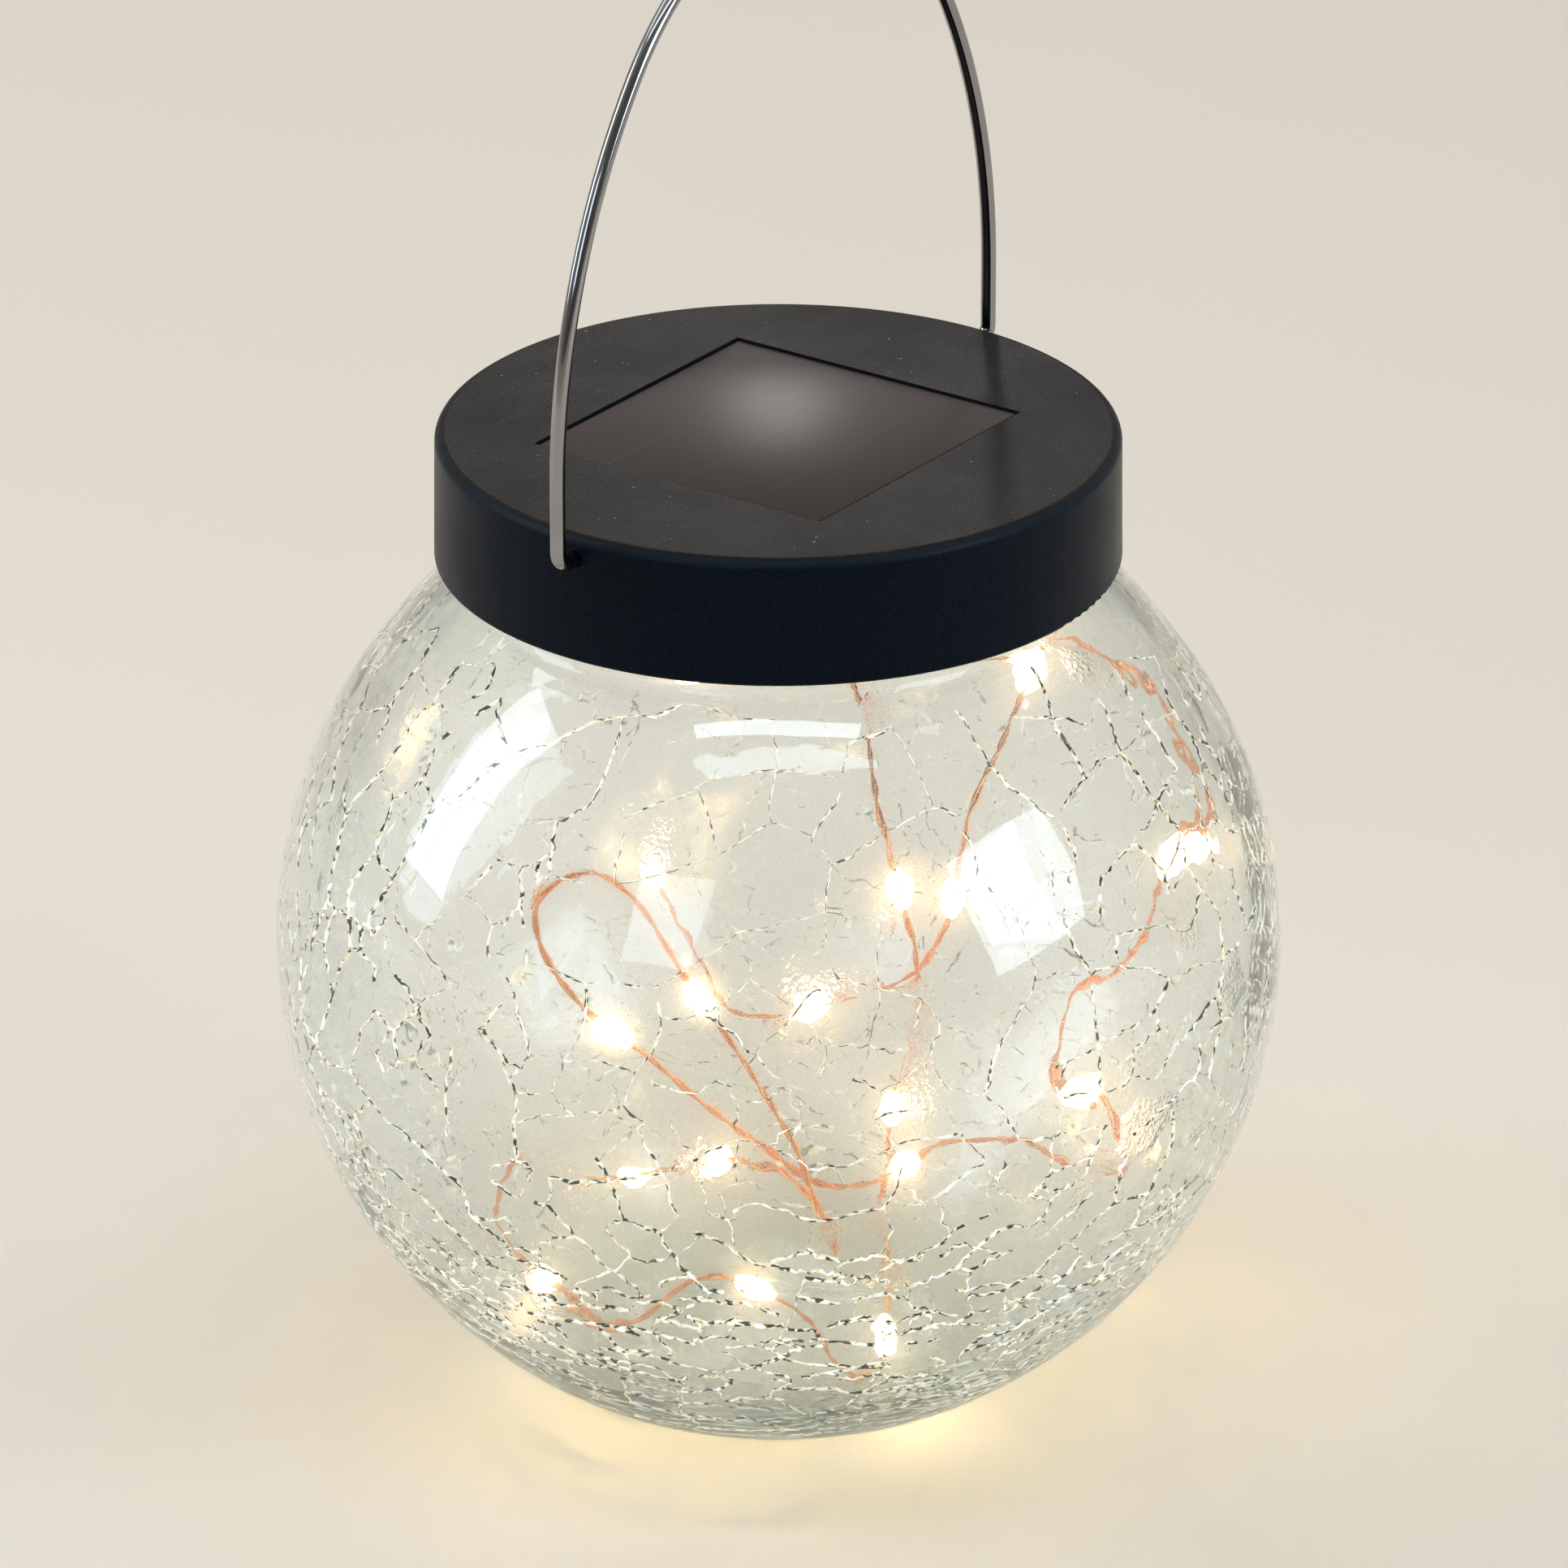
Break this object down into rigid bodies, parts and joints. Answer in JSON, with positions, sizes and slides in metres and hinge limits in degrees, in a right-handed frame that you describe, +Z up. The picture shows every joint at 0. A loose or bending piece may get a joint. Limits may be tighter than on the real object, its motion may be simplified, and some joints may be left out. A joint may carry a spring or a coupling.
{
  "type": "solar globe lantern",
  "caption": "Crackle-glass globe lantern with a black screw lid, solar panel, swinging wire bail and a string of small warm lights hanging inside.",
  "frame": {"origin": "centre of the flat glass foot, on the surface the lantern stands on", "axes": "+Z up along the globe's axis; +X along the bail's hinge axis, so the bail swings in the Y-Z plane; the panel's edges run along X and Y; the switch's ON side is -Y"},
  "size_m": [0.119, 0.119, 0.1869],
  "materials": {
    "crackle_glass": "clear, crackled inside the wall",
    "seal_rubber": "matte",
    "lid_plastic": "fine satin grain",
    "solar_cell": "clear resin over a dark brown thin-film cell",
    "foam_tape": "matte",
    "steel_screw": "zinc plated",
    "cell_wrap": "plain shrink wrap",
    "contact_steel": "nickel plated",
    "board_laminate": "solder mask",
    "chip_plastic": "matte",
    "ferrite": "matte",
    "switch_shell": "tin plated",
    "switch_knob": "matte",
    "lead_sheath": "satin",
    "gland_rubber": "matte",
    "copper_wire": "bare copper, clear lacquer",
    "clear_resin": "clear drop over a warm white chip",
    "light_die": "phosphor coated",
    "bail_steel": "bright drawn wire"
  },
  "bodies": {
    "jar": {"glass_globe": "crackle_glass"},
    "seal": {"neck_seal": "seal_rubber"},
    "lid": {"lid_shell": "lid_plastic", "solar_panel": "solar_cell", "panel_tape": "foam_tape", "base_cover": "lid_plastic", "base_screws": "steel_screw", "battery_door": "lid_plastic", "battery_cell": "cell_wrap", "plus_contact": "contact_steel", "minus_contact": "contact_steel", "circuit_board": "board_laminate", "driver_chip": "chip_plastic", "inductor": "ferrite", "switch_body": "switch_shell", "solar_leads": "lead_sheath", "battery_leads": "lead_sheath", "string_leads": "lead_sheath", "string_gland": "gland_rubber", "light_string": "copper_wire", "led_beads": "clear_resin", "led_dies": "light_die"},
    "bail": {"bail_handle": "bail_steel"},
    "switch": {"switch_slider": "switch_knob"}
  },
  "joints": [
    {"name": "lid_lift", "type": "slide", "parent": "jar", "child": "seal", "axis": [0, 0, 1], "range_m": [0, 0.0042]},
    {"name": "lid_turn", "type": "hinge", "parent": "seal", "child": "lid", "pos_m": [0, 0, 0.11906], "axis": [0, 0, 1], "range_deg": [0, 360]},
    {"name": "bail_swing", "type": "hinge", "parent": "lid", "child": "bail", "pos_m": [0, 0, 0.11786], "axis": [1, 0, 0], "range_deg": [-123, 123]},
    {"name": "switch_slide", "type": "slide", "parent": "lid", "child": "switch", "axis": [0, 1, 0], "range_m": [0, 0.002]}
  ],
  "couplings": [
    {"joint": "lid_lift", "follows": "lid_turn", "m_per_rad": 0.000668}
  ]
}
